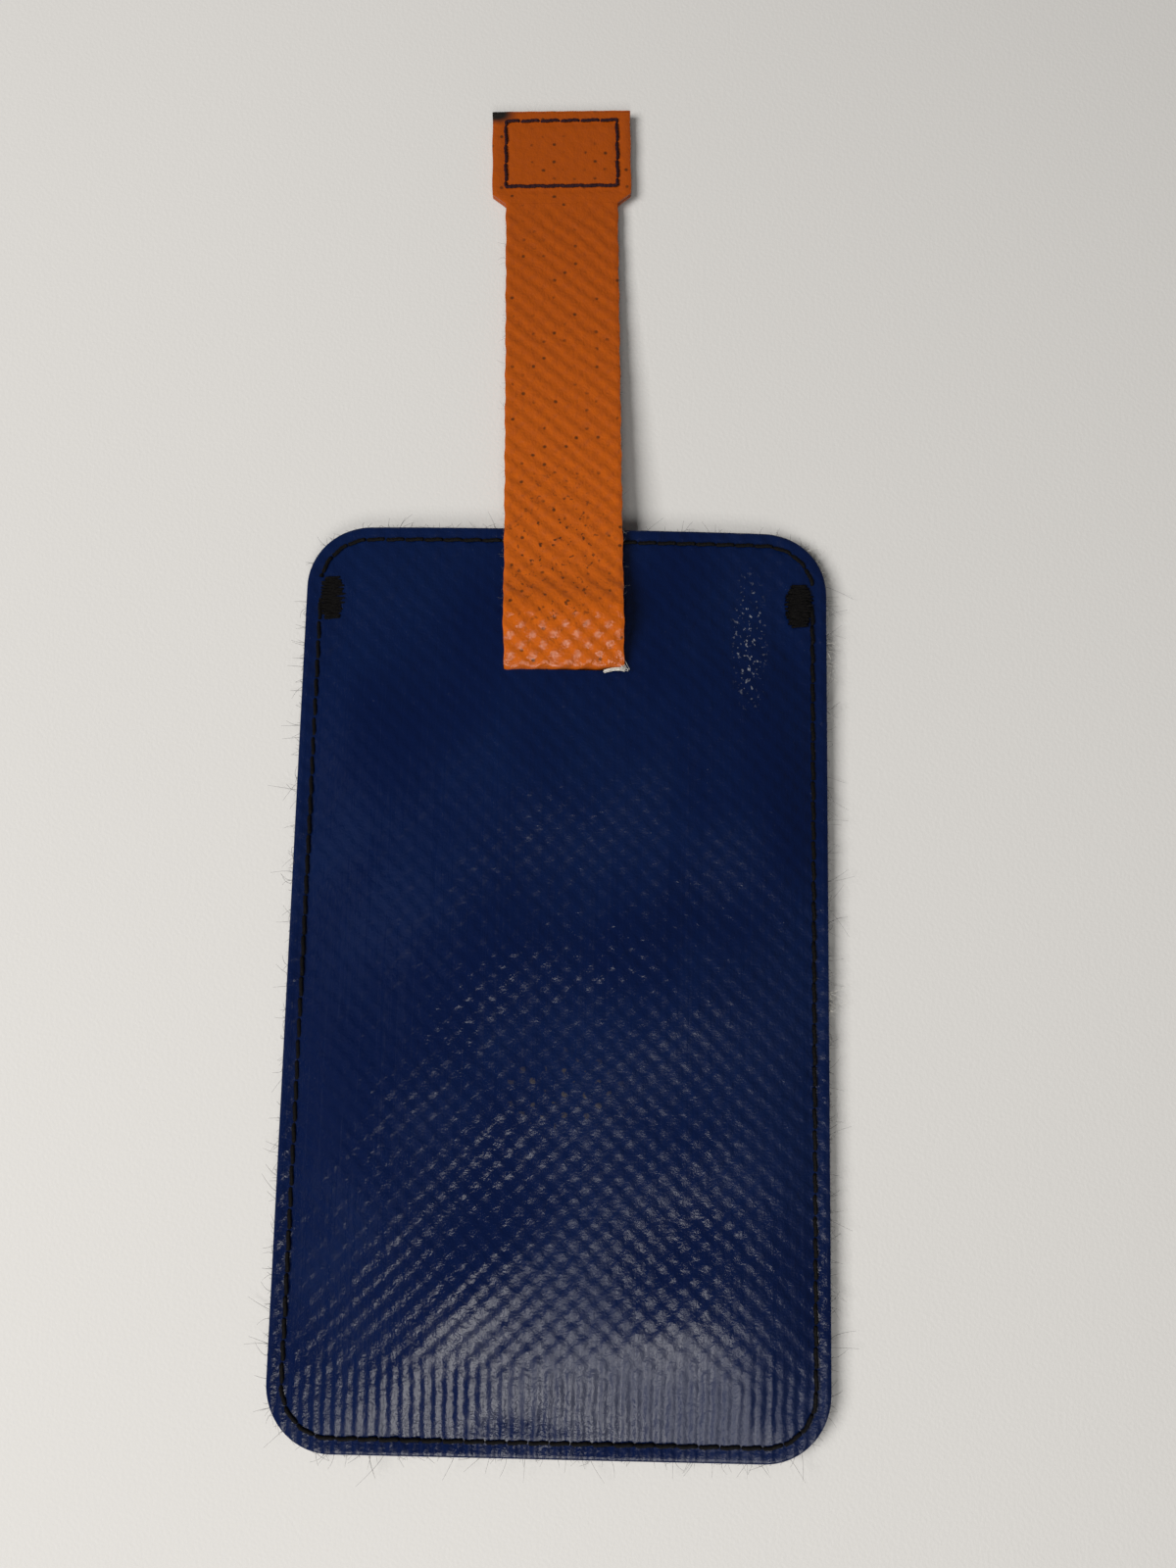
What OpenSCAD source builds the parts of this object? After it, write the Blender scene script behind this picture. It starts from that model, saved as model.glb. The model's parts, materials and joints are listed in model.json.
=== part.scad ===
// Flat pocket sleeve of coated tarpaulin with a pull strap that runs out through a slit in its front.
// Frame: X across the sleeve, Y along it towards the mouth and the strap's tab, Z up out of the front.
// The origin is the middle of the back panel's outer face.

/* [Sleeve] */
// Width of the sleeve across its cut edges
sleeve_w = 84; // [60:1:110]
// Length of the sleeve from its closed end to its mouth
sleeve_l = 142; // [100:1:180]
// Radius of the four corners
corner_r = 10; // [6:0.5:14]
// How far the front stands off the back in the middle of the pocket
crown = 3.2; // [2.6:0.1:6]
// How far the front lip stands off the back lip at the middle of the mouth
mouth_gap = 0.8; // [0.4:0.1:2]

/* [Material] */
// Thickness of the coated tarpaulin
tarp_t = 0.7; // [0.5:0.05:1]
// Thickness of the lining cloth
lining_t = 0.5; // [0.3:0.05:1]
// Gap left between two layers that lie on each other
layer_gap = 0.05; // [0.02:0.01:0.1]

/* [Seams] */
// Distance from the cut edge to the side and bottom seam
seam_inset = 2.3; // [1.8:0.1:3.5]
// Distance from the cut edge to the stitching along the mouth
mouth_inset = 2.1; // [1.8:0.1:3.5]
// Width of a sewn thread
thread_w = 0.55; // [0.3:0.05:0.8]
// Height of a sewn thread
thread_h = 0.3; // [0.2:0.05:0.4]
// Width of a bar tack
tack_w = 4.2; // [3:0.1:5]
// Length of a bar tack
tack_l = 6.8; // [5:0.1:9]
// Distance from the mouth's edge to the middle of a bar tack
tack_drop = 12; // [11:0.5:16]

/* [Strap] */
// Width of the strap
strap_w = 19; // [14:0.5:26]
// Distance from the mouth's edge to the slit
slit_drop = 23; // [20:0.5:34]
// Width of the slit along the sleeve
slit_gap = 2; // [1.8:0.1:3]
// Room for the strap at each end of the slit
slit_side_room = 0.6; // [0.4:0.1:1]
// Length of strap outside the slit, up to the end of the tab
strap_out = 98; // [85:1:120]
// Angle at which the strap lies off the sleeve's own line
strap_lean = 1.6; // [0:0.1:3]
// How deep the strap's loop hangs into the pocket below the slit
loop_depth = 67; // [40:1:85]
// How far below the slit the strap's end is sewn to the back lining
anchor_drop = 24; // [20:1:30]

/* [Tab] */
// Width of the tab at the strap's end
tab_w = 23.6; // [20:0.1:32]
// Length of the tab
tab_l = 17; // [12:0.5:22]
// Chamfer at the tab's two lower corners
tab_chamfer = 1.8; // [1:0.1:2.2]
// Distance from the tab's edges to its stitched rectangle
tab_stitch_inset = 2.3; // [1.8:0.1:3]

/* [Hidden] */

// Layers, from the back up, at the sewn edge
back_lining_z = tarp_t + layer_gap;
pocket_z = back_lining_z + lining_t;
front_lining_z = pocket_z + layer_gap;
front_z = front_lining_z + lining_t + layer_gap;
front_top = front_z + tarp_t;

// Plan
half_w = sleeve_w / 2;
half_l = sleeve_l / 2;
slit_y = half_l - slit_drop;
slit_w = strap_w + 2 * slit_side_room;
tack_y = half_l - tack_drop;
tack_x = half_w - seam_inset - tack_w / 2;
anchor_y = slit_y - anchor_drop;
loop_y = slit_y - loop_depth;
tab_top_y = slit_y + strap_out;
tab_y = tab_top_y - tab_l;

// Swell of the front
seam_room = 0.6;                   // flat strip inside the side seam
bottom_swell = 30;                 // length over which the front rises from the closed end
mouth_swell = 45;                  // length over which it falls to the mouth
tack_swell = 12;                   // length over which the swell narrows to clear the bar tacks
outline_steps = 6;                 // steps round each corner
ring_shares = [0.22, 0.42, 0.6, 0.76, 0.88, 0.94, 0.96, 1];

// Strap details
strap_room = 0.3;                  // running room over the front and at the slit
inner_room = 0.15;                 // room between the strap's loop and the linings
bend_l = 3;                        // length of strap that turns with the hinge
hinge_z = front_top + swell(0, slit_y) + strap_room + tarp_t / 2;
hump = 1.1;                        // rise of the strap's arch over the front, just past the slit
desk_room = thread_h + layer_gap;  // room under the tab for its thread
flap_z = desk_room;
tab_z = flap_z + 1.5 * tarp_t + layer_gap;
fold_r = tarp_t + layer_gap / 2;
groove = thread_h + layer_gap;
stitch_h = thread_h;
thread_z = front_top + layer_gap;
eps = 0.01;

function clamp01(v) = max(0, min(1, v));
function smooth(v) = v * v * (3 - 2 * v);

// Half width of the swollen part, narrower near the mouth where the bar tacks hold the sides down
function swell_half(y) =
    let (side = half_w - seam_inset - seam_room,
         near = smooth(clamp01((y - (tack_y - tack_l / 2 - tack_swell)) / tack_swell)))
    side - near * (tack_w + seam_room);

// Height of the front over its sewn level at a point of the plan
function swell(x, y) =
    let (across = 1 - pow(min(1, abs(x) / swell_half(y)), 3),
         low = clamp01((y + half_l - seam_inset - seam_room) / bottom_swell),
         high = smooth(clamp01((half_l - y) / mouth_swell)),
         share = mouth_gap / crown)
    crown * across * (1 - pow(1 - low, 2.5)) * (share + (1 - share) * high);

// Points round a rounded rectangle, anticlockwise from the right-hand end of its lower right corner
function rounded(w, l, r) =
    [for (c = [[1, -1, -90], [1, 1, 0], [-1, 1, 90], [-1, -1, 180]], i = [0 : outline_steps])
        [c[0] * (w / 2 - r) + r * cos(c[2] + 90 * i / outline_steps),
         c[1] * (l / 2 - r) + r * sin(c[2] + 90 * i / outline_steps)]];

// The sleeve's outline with extra points along its straight sides, so that the rings follow the swell
function between(a, b, n) = [for (i = [0 : n - 1]) a + (b - a) * i / n];
function outline() =
    let (p = rounded(sleeve_w, sleeve_l, corner_r), n = len(p), k = outline_steps)
    [for (i = [0 : n - 1])
        let (long = (i + 1) % (k + 1) == 0, count = long ? (abs(p[i][0] - p[(i + 1) % n][0]) > 1 ? 8 : 12) : 1)
        each between(p[i], p[(i + 1) % n], count)];

// Sheet that follows the swell, of even thickness, made of rings between the middle and the outline
module swollen_sheet(z, t) {
    edge = outline();
    n = len(edge);
    rings = [for (s = ring_shares) [for (p = edge) s * p]];
    plan = [[0, 0], each [for (r = rings) each r]];
    m = len(plan);
    points = [for (p = plan) [p[0], p[1], z + swell(p[0], p[1])],
              for (p = plan) [p[0], p[1], z + t + swell(p[0], p[1])]];
    last = 1 + (len(rings) - 1) * n;
    low = [for (i = [0 : n - 1]) [0, 1 + i, 1 + (i + 1) % n],
           for (k = [0 : len(rings) - 2], i = [0 : n - 1])
               let (a = 1 + k * n + i, b = 1 + k * n + (i + 1) % n)
               each [[a, a + n, b + n], [a, b + n, b]]];
    high = [for (f = low) [f[0] + m, f[2] + m, f[1] + m]];
    rim = [for (i = [0 : n - 1])
               let (a = last + i, b = last + (i + 1) % n)
               each [[a, a + m, b + m], [a, b + m, b]]];
    polyhedron(points, [each low, each high, each rim], convexity = 6);
}

module slit_cut() {
    translate([0, slit_y, front_top]) cube([slit_w, slit_gap, 4 * front_top + 4 * crown], center = true);
}

module flat_sheet(z, t) {
    translate([0, 0, z]) linear_extrude(t) polygon(rounded(sleeve_w, sleeve_l, corner_r));
}

// Line of a seam: the part of an inset outline from one height round the closed end, or round the mouth
function seam_line(inset) = rounded(sleeve_w - 2 * inset, sleeve_l - 2 * inset, corner_r - inset);
function side_path() =
    let (p = seam_line(seam_inset), k = outline_steps, x = half_w - seam_inset)
    [[-x, tack_y], each [for (i = [3 * k + 3 : 4 * k + 3]) p[i]], each [for (i = [0 : k]) p[i]], [x, tack_y]];
function mouth_path() =
    let (p = seam_line(mouth_inset), k = outline_steps, r = corner_r - mouth_inset,
         start = tack_y + tack_l / 2 + 2 * layer_gap, up = max(0, start - half_l + corner_r),
         x = half_w - corner_r + sqrt(r * r - up * up),
         right = [for (i = [k + 1 : 2 * k + 1]) if (p[i][1] > start + eps) p[i]],
         left = [for (i = [2 * k + 2 : 3 * k + 2]) if (p[i][1] > start + eps) p[i]])
    [[x, start], each right, each between(right[len(right) - 1], left[0], 8), each left, [-x, start]];

// Thread of rectangular section laid along a path of plan points, with its underside at a given level
module laid_thread(path, z, follow) {
    n = len(path);
    function along(i) = let (d = path[min(i + 1, n - 1)] - path[max(i - 1, 0)]) d / norm(d);
    function level(p) = z + (follow ? swell(p[0], p[1]) : 0);
    points = [for (i = [0 : n - 1])
                  let (d = along(i), side = [d[1], -d[0]] * thread_w / 2, p = path[i])
                  each [[p[0] + side[0], p[1] + side[1], level(p + side)],
                        [p[0] + side[0], p[1] + side[1], level(p + side) + stitch_h],
                        [p[0] - side[0], p[1] - side[1], level(p - side) + stitch_h],
                        [p[0] - side[0], p[1] - side[1], level(p - side)]]];
    walls = [for (i = [0 : n - 2], j = [0 : 3])
                 let (a = 4 * i + j, b = 4 * i + (j + 1) % 4)
                 each [[a, a + 4, b + 4], [a, b + 4, b]]];
    e = 4 * (n - 1);
    ends = [[0, 1, 2], [0, 2, 3], [e, e + 2, e + 1], [e, e + 3, e + 2]];
    polyhedron(points, [each walls, each ends], convexity = 4);
}

// Groove for a thread in the back, wide enough to clear it
module back_groove(inset) {
    grow = thread_w / 2 + layer_gap;
    translate([0, 0, -eps]) linear_extrude(groove + eps) difference() {
        polygon(rounded(sleeve_w - 2 * (inset - grow), sleeve_l - 2 * (inset - grow), corner_r - inset + grow));
        polygon(rounded(sleeve_w - 2 * (inset + grow), sleeve_l - 2 * (inset + grow), corner_r - inset - grow));
    }
}

module tack_block(side, z, grow) {
    translate([side * tack_x, tack_y, z + (thread_h + grow) / 2])
        cube([tack_w + 2 * grow, tack_l + 2 * grow, thread_h + grow], center = true);
}

// Smooth curve through points: Catmull-Rom, with a number of steps on each stretch
function curve_point(a, b, c, d, t) =
    0.5 * (2 * b + (c - a) * t + (2 * a - 5 * b + 4 * c - d) * t * t + (3 * b - a - 3 * c + d) * t * t * t);
function curve(p, steps) =
    let (n = len(p))
    [for (i = [0 : n - 2], s = [0 : steps - 1])
        curve_point(p[max(i - 1, 0)], p[i], p[i + 1], p[min(i + 2, n - 1)], s / steps), p[n - 1]];

// Outline of a strip of even thickness along a line in the (y, z) plane
function strip(line, t) =
    let (n = len(line),
         normal = [for (i = [0 : n - 1])
                       let (d = line[min(i + 1, n - 1)] - line[max(i - 1, 0)]) [-d[1], d[0]] / norm(d)])
    [for (i = [0 : n - 1]) line[i] + normal[i] * t / 2,
     for (i = [n - 1 : -1 : 0]) line[i] - normal[i] * t / 2];

// Strip extruded across the strap's width
module band(line, w) {
    rotate([90, 0, 90]) translate([0, 0, -w / 2]) linear_extrude(w) polygon(strip(line, tarp_t));
}

// Line of the strap's loop inside the pocket, from its sewn end down, round and up through the slit
function front_run_z(y) = front_lining_z + swell(0, y) - inner_room - tarp_t / 2;
back_run_z = pocket_z + inner_room + tarp_t / 2;
loop_top = slit_y - slit_gap;
function loop_line() =
    let (r = (front_run_z(loop_y) - back_run_z) / 2, top = front_top + swell(0, slit_y) - strap_room)
    [[anchor_y + strap_w / 2, back_run_z], [loop_y, back_run_z],
     each [for (a = [-75 : 15 : 75]) [loop_y - r * cos(a), back_run_z + r + r * sin(a)]],
     each [for (i = [0 : 12]) let (y = loop_y + (loop_top - loop_y) * i / 12) [y, front_run_z(y)]],
     each [for (a = [-60 : 20 : -20])
         [slit_y - slit_gap / 2 + cos(a), front_run_z(loop_top) + 1 + sin(a)]],
     [slit_y, top]];

// Line of the strap outside: up out of the slit, over the front and the mouth, and down to what it lies on
function outer_line() =
    let (over = front_top + strap_room + tarp_t / 2, mouth_z = over + mouth_gap, bend_y = slit_y + bend_l,
         drop = tab_y - half_l)
    curve([[bend_y, hinge_z + 0.65 * hump], [bend_y + 4, hinge_z + hump],
           [half_l - 8, mouth_z + 0.55 * (hinge_z - mouth_z) + 0.4 * hump], [half_l, mouth_z + 0.35 * hump],
           [half_l + 0.17 * drop, mouth_z - 0.05], [half_l + 0.4 * drop, tab_z + 0.66 * (mouth_z - tab_z)],
           [half_l + 0.7 * drop, tab_z + 0.22 * (mouth_z - tab_z)], [tab_y - 3, tab_z], [tab_y, tab_z]], 4);

module lean() {
    translate([0, slit_y, 0]) rotate([0, 0, strap_lean]) translate([0, -slit_y, 0]) children();
}

module tab_plan() {
    polygon([[-strap_w / 2, tab_y], [strap_w / 2, tab_y], [tab_w / 2, tab_y + tab_chamfer],
             [tab_w / 2, tab_top_y], [-tab_w / 2, tab_top_y], [-tab_w / 2, tab_y + tab_chamfer]]);
}

module tab_rectangle(z) {
    x = tab_w / 2 - tab_stitch_inset;
    low = tab_y + tab_stitch_inset;
    high = tab_top_y - tab_stitch_inset;
    translate([0, 0, z]) linear_extrude(stitch_h) difference() {
        polygon([[-x - thread_w / 2, low - thread_w / 2], [x + thread_w / 2, low - thread_w / 2],
                 [x + thread_w / 2, high + thread_w / 2], [-x - thread_w / 2, high + thread_w / 2]]);
        polygon([[-x + thread_w / 2, low + thread_w / 2], [x - thread_w / 2, low + thread_w / 2],
                 [x - thread_w / 2, high - thread_w / 2], [-x + thread_w / 2, high - thread_w / 2]]);
    }
}

module back_panel() {
    color([0.02, 0.06, 0.24]) difference() {
        flat_sheet(0, tarp_t);
        for (inset = [seam_inset, mouth_inset]) back_groove(inset);
        for (side = [-1, 1]) tack_block(side, -eps, layer_gap);
    }
}

module back_lining() {
    color([0.13, 0.13, 0.14]) flat_sheet(back_lining_z, lining_t);
}

module front_lining() {
    color([0.13, 0.13, 0.14]) difference() {
        swollen_sheet(front_lining_z, lining_t);
        slit_cut();
    }
}

module front_panel() {
    color([0.02, 0.06, 0.24]) difference() {
        swollen_sheet(front_z, tarp_t);
        slit_cut();
    }
}

module side_seam_needle_thread() {
    color([0.02, 0.02, 0.03]) difference() {
        laid_thread(side_path(), thread_z, true);
        for (side = [-1, 1]) tack_block(side, front_top, 4 * layer_gap);
    }
}

module side_seam_bobbin_thread() {
    color([0.02, 0.02, 0.03]) difference() {
        laid_thread(side_path(), layer_gap / 2, false);
        for (side = [-1, 1]) tack_block(side, 0, 2 * eps);
    }
}

module front_mouth_thread() {
    color([0.02, 0.02, 0.03]) laid_thread(mouth_path(), thread_z, true);
}

module back_mouth_thread() {
    color([0.02, 0.02, 0.03]) laid_thread(mouth_path(), layer_gap / 2, false);
}

module bar_tack(side) {
    color([0.02, 0.02, 0.02]) {
        tack_block(side, front_top + 2 * layer_gap, 0);
        tack_block(side, layer_gap / 2, 0);
    }
}

module strap_loop() {
    color([0.75, 0.26, 0.04]) band(loop_line(), strap_w);
}

module anchor_thread() {
    x = strap_w / 2 - tab_stitch_inset;
    z = back_run_z + tarp_t / 2;
    color([0.1, 0.02, 0.02]) translate([0, anchor_y, z]) linear_extrude(stitch_h) difference() {
        square(2 * x + thread_w, center = true);
        square(2 * x - thread_w, center = true);
    }
}

module strap_bend() {
    line = curve([[slit_y, hinge_z], [slit_y + bend_l / 3, hinge_z + 0.3 * hump],
                  [slit_y + bend_l, hinge_z + 0.65 * hump]], 3);
    color([0.75, 0.26, 0.04]) lean() {
        band(line, strap_w);
        translate([-strap_w / 2, slit_y, hinge_z]) rotate([0, 90, 0]) cylinder(d = tarp_t, h = strap_w, $fn = 32);
    }
}

module pull_strap() {
    color([0.75, 0.26, 0.04]) lean() intersection() {
        band(outer_line(), strap_w);
        translate([-tab_w, slit_y, 0]) cube([2 * tab_w, tab_y - layer_gap - slit_y, 4 * hinge_z]);
    }
}

// Tab: the strap's wide end folded under itself, with its fold at the far end
module stop_tab() {
    flat_l = tab_l - fold_r;
    color([0.75, 0.26, 0.04]) lean() {
        for (z = [flap_z, tab_z - tarp_t / 2]) translate([0, 0, z]) linear_extrude(tarp_t) intersection() {
            tab_plan();
            translate([-tab_w, tab_y]) square([2 * tab_w, flat_l]);
        }
        translate([-tab_w / 2, tab_top_y - fold_r, flap_z + fold_r]) intersection() {
            rotate([0, 90, 0]) cylinder(r = fold_r, h = tab_w, $fn = 48);
            translate([0, 0, -fold_r]) cube([tab_w, fold_r, 2 * fold_r]);
        }
    }
}

module tab_needle_thread() {
    color([0.1, 0.02, 0.02]) lean() tab_rectangle(tab_z + tarp_t / 2);
}

module tab_bobbin_thread() {
    color([0.1, 0.02, 0.02]) lean() tab_rectangle(0);
}

back_panel();
back_lining();
front_lining();
front_panel();
side_seam_needle_thread();
side_seam_bobbin_thread();
front_mouth_thread();
back_mouth_thread();
bar_tack(-1);  // left_bar_tack
bar_tack(1);  // right_bar_tack
strap_loop();
anchor_thread();
strap_bend();
pull_strap();
stop_tab();
tab_needle_thread();
tab_bobbin_thread();
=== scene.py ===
"""Tarpaulin pocket sleeve with a pull strap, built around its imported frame."""
import json
from math import cos, pi, radians, sin

import bpy
import numpy as np
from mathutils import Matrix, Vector


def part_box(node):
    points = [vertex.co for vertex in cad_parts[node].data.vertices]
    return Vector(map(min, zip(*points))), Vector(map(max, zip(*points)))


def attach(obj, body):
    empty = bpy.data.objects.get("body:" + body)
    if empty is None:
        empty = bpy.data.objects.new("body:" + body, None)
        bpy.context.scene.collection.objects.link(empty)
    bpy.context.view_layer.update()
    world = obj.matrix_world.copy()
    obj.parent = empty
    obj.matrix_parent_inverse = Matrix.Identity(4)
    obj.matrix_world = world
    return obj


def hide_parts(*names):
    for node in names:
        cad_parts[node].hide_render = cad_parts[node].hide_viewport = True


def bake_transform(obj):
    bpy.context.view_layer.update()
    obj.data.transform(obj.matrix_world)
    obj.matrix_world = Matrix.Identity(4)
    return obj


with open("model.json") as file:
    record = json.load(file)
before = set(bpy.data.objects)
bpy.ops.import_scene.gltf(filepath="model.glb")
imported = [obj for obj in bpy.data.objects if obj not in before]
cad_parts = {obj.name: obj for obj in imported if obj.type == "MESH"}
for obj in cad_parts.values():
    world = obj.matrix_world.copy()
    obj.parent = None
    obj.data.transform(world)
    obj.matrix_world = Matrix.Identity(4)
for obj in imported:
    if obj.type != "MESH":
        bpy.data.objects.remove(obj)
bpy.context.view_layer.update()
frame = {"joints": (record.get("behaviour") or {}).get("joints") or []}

bl_info = {
    "name": "Tarpaulin pull-strap sleeve",
    "version": (1, 0, 0),
    "blender": (4, 5, 0),
    "location": "3D View > Sidebar > Sleeve",
    "description": "Builds a sewn tarpaulin sleeve, its strap, its threads and its studio",
    "category": "Add Mesh",
}

MM = 0.001


def node_box(name):
    """Lowest and highest corner of a frame node as arrays."""
    low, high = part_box(name)
    return np.array(low), np.array(high)


PANEL_LOW, PANEL_HIGH = node_box("front_panel")
BACK_LOW, BACK_HIGH = node_box("back_panel")
HALF_W = float(PANEL_HIGH[0])
HALF_L = float(PANEL_HIGH[1])
TARP_T = float(BACK_HIGH[2] - BACK_LOW[2])
FRONT_Z = float(PANEL_LOW[2])
FRONT_TOP = FRONT_Z + TARP_T
CORNER_R = 10 * MM
HINGE = next(j for j in frame["joints"] if j["name"] == "strap_lift")
SLIT_Y = float(HINGE["pos_m"][1])
HINGE_Z = float(HINGE["pos_m"][2])
LEAN = float(np.arctan2(HINGE["axis"][1], HINGE["axis"][0]))
TAB_LOW, TAB_HIGH = node_box("stop_tab")
SEAM_INSET = 2.3 * MM
MOUTH_INSET = 2.1 * MM
SEAM_ROOM = 0.6 * MM
TACK_Y = HALF_L - 12 * MM
TACK_W = 4.2 * MM
TACK_L = 6.8 * MM
TACK_X = HALF_W - SEAM_INSET - TACK_W / 2
STRAP_W = 19 * MM
TAB_W = 23.6 * MM
TAB_L = 17 * MM
TAB_TOP_Y = SLIT_Y + 98 * MM
TAB_Y = TAB_TOP_Y - TAB_L
TAB_Z = float(TAB_HIGH[2]) - TARP_T / 2
FLAP_Z = float(TAB_LOW[2])
HUMP = 2.1 * MM
BEND_L = 3 * MM
CROWN = 3.2 * MM
MOUTH_GAP = 0.8 * MM
RIB_Y = -HALF_L + 17 * MM
SLIT_LOW = SLIT_Y - 0.65 * MM
SLIT_HIGH = SLIT_Y + 0.6 * MM
SLIT_HALF = STRAP_W / 2 + 0.12 * MM
TACK_SWELL_L = 12 * MM
END_SWELL_L = 30 * MM
MOUTH_SWELL_L = 45 * MM
BLUE_WEAVE = 1.65 * MM, 1.63 * MM
ORANGE_WEAVE = 1.76 * MM, 1.57 * MM
CROWN_H = 0.035 * MM
STITCH = 3.15 * MM
TAB_STITCH = 3.4 * MM
STRAP_STEP = 0.4 * MM
ANCHOR_Y = SLIT_Y - 24 * MM
ANCHOR_Z = 1.25 * MM + 0.1 * MM
CORNER_ROWS = 18
FOLD_COLS = 24
TACK_LEGS = 30
rng = np.random.default_rng(614)


def clamp01(v):
    return np.clip(v, 0, 1)


def smooth(v):
    return v * v * (3 - 2 * v)


def swell(x, y):
    """Rise of the front: a cubic crown across, a fast rise at the closed end, a smooth fall to the mouth."""
    near = smooth(clamp01((y - (TACK_Y - TACK_L / 2 - TACK_SWELL_L)) / TACK_SWELL_L))
    side = HALF_W - SEAM_INSET - SEAM_ROOM - near * (TACK_W + SEAM_ROOM)
    across = 1 - np.minimum(1, np.abs(x) / side) ** 3
    low = clamp01((y + HALF_L - SEAM_INSET - SEAM_ROOM) / END_SWELL_L)
    high = smooth(clamp01((HALF_L - y) / MOUTH_SWELL_L))
    share = MOUTH_GAP / CROWN
    return CROWN * across * (1 - (1 - low) ** 2.5) * (share + (1 - share) * high)


def edge_distance(x, y):
    """Distance inwards from the rounded rectangle's edge: the signed distance of a rounded box."""
    qx = np.abs(x) - HALF_W + CORNER_R
    qy = np.abs(y) - HALF_L + CORNER_R
    outside = np.hypot(np.maximum(qx, 0), np.maximum(qy, 0))
    return CORNER_R - outside - np.minimum(np.maximum(qx, qy), 0)


def weave(x, y, across, along, height):
    """Crowns of a coated basket weave: a product of two cosines, with fine ribs along Y added."""
    crowns = np.cos(pi * x / across) * np.cos(pi * y / along)
    ribs = np.cos(2 * pi * x / across)
    share = 0.15 + 0.6 * smooth(clamp01((RIB_Y - y) / (8 * MM)))
    return height * ((1 - share) * crowns + share * ribs)


# ---- Meshes ----------------------------------------------------------------

def make_object(name, verts, faces, material):
    """Object at the origin from arrays of vertices and faces, smooth shaded."""
    mesh = bpy.data.meshes.new(name)
    mesh.from_pydata(np.asarray(verts, float).reshape(-1, 3).tolist(), [], [list(map(int, f)) for f in faces])
    mesh.materials.append(material)
    mesh.polygons.foreach_set("use_smooth", np.ones(len(mesh.polygons), bool))
    mesh.update()
    mesh.set_sharp_from_angle(angle=radians(50))
    obj = bpy.data.objects.new(name, mesh)
    bpy.context.scene.collection.objects.link(obj)
    return obj


def sheet_faces(rows, cols, keep):
    """Faces of a closed sheet: top grid, bottom grid turned over, and a wall on every open edge."""
    i, j = np.meshgrid(np.arange(rows), np.arange(cols), indexing="ij")
    top = i * cols + j
    low = top + rows * cols
    quads = [np.stack([top[:-1, :-1], top[:-1, 1:], top[1:, 1:], top[1:, :-1]], -1)[keep],
             np.stack([low[:-1, :-1], low[1:, :-1], low[1:, 1:], low[:-1, 1:]], -1)[keep]]
    pad = np.pad(keep, 1)
    left, right = pad[1:-1, :-1], pad[1:-1, 1:]
    a, b, c, d = top[:-1], top[1:], low[1:], low[:-1]
    quads += [np.stack([a, b, c, d], -1)[right & ~left], np.stack([b, a, d, c], -1)[left & ~right]]
    below, above = pad[:-1, 1:-1], pad[1:, 1:-1]
    a, b, c, d = top[:, :-1], top[:, 1:], low[:, 1:], low[:, :-1]
    quads += [np.stack([b, a, d, c], -1)[above & ~below], np.stack([a, b, c, d], -1)[below & ~above]]
    return np.concatenate([q.reshape(-1, 4) for q in quads])


def spread(stops, step):
    """Coordinates from stop to stop with steps of about one size, each stop hit exactly."""
    parts = [np.linspace(a, b, max(2, int(round((b - a) / step)) + 1))[:-1] for a, b in zip(stops, stops[1:])]
    return np.concatenate(parts + [[stops[-1]]])


def plan_grid(step, slit):
    """Grid over the rounded rectangle: rows closer in the corners, each row as wide as the outline there."""
    turn = np.linspace(0, pi / 2, CORNER_ROWS)
    bend = CORNER_R * np.sin(turn)
    straight = HALF_L - CORNER_R
    stops = [-straight, SLIT_LOW, SLIT_HIGH, straight] if slit else [-straight, straight]
    rows = np.concatenate([(-straight - bend)[::-1][:-1], spread(stops, step), (straight + bend)[1:]])
    cols = spread([-HALF_W, -SLIT_HALF, SLIT_HALF, HALF_W] if slit else [-HALF_W, HALF_W], step)
    over = np.maximum(np.abs(rows) - straight, 0)
    width = HALF_W - CORNER_R + np.sqrt(np.maximum(CORNER_R ** 2 - over ** 2, 0))
    x = cols[None, :] * (width / HALF_W)[:, None]
    y = np.repeat(rows[:, None], len(cols), 1)
    keep = np.ones((len(rows) - 1, len(cols) - 1), bool)
    if slit:
        mid_y = (rows[1:] + rows[:-1]) / 2
        mid_x = (cols[1:] + cols[:-1]) / 2
        keep &= ~(((mid_y > SLIT_LOW) & (mid_y < SLIT_HIGH))[:, None] & (np.abs(mid_x) < SLIT_HALF)[None, :])
    return x, y, keep


def tube(path, radius, sides=8, flat=1.0):
    """Closed tube along a path: a circle, pressed flat in Z, carried by the path's own sideways direction."""
    path = np.asarray(path, float)
    radius = np.broadcast_to(radius, (len(path),))
    run = np.gradient(path, axis=0)
    run /= np.linalg.norm(run, axis=1, keepdims=True) + 1e-12
    up = np.tile([0.0, 0.0, 1.0], (len(path), 1))
    up[np.abs(run[:, 2]) > 0.95] = [0.0, 1.0, 0.0]
    side = np.cross(run, up)
    side /= np.linalg.norm(side, axis=1, keepdims=True) + 1e-12
    lift = np.cross(side, run)
    turn = np.linspace(0, 2 * pi, sides, endpoint=False)
    ring = path[:, None] + radius[:, None, None] * (
        np.cos(turn)[None, :, None] * side[:, None] + flat * np.sin(turn)[None, :, None] * lift[:, None])
    n = len(path)
    i, j = np.meshgrid(np.arange(n - 1), np.arange(sides), indexing="ij")
    a, b = i * sides + j, i * sides + (j + 1) % sides
    quads = np.stack([a, b, b + sides, a + sides], -1).reshape(-1, 4).tolist()
    caps = [list(range(sides))[::-1], [(n - 1) * sides + k for k in range(sides)]]
    return ring.reshape(-1, 3), quads + caps


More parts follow.
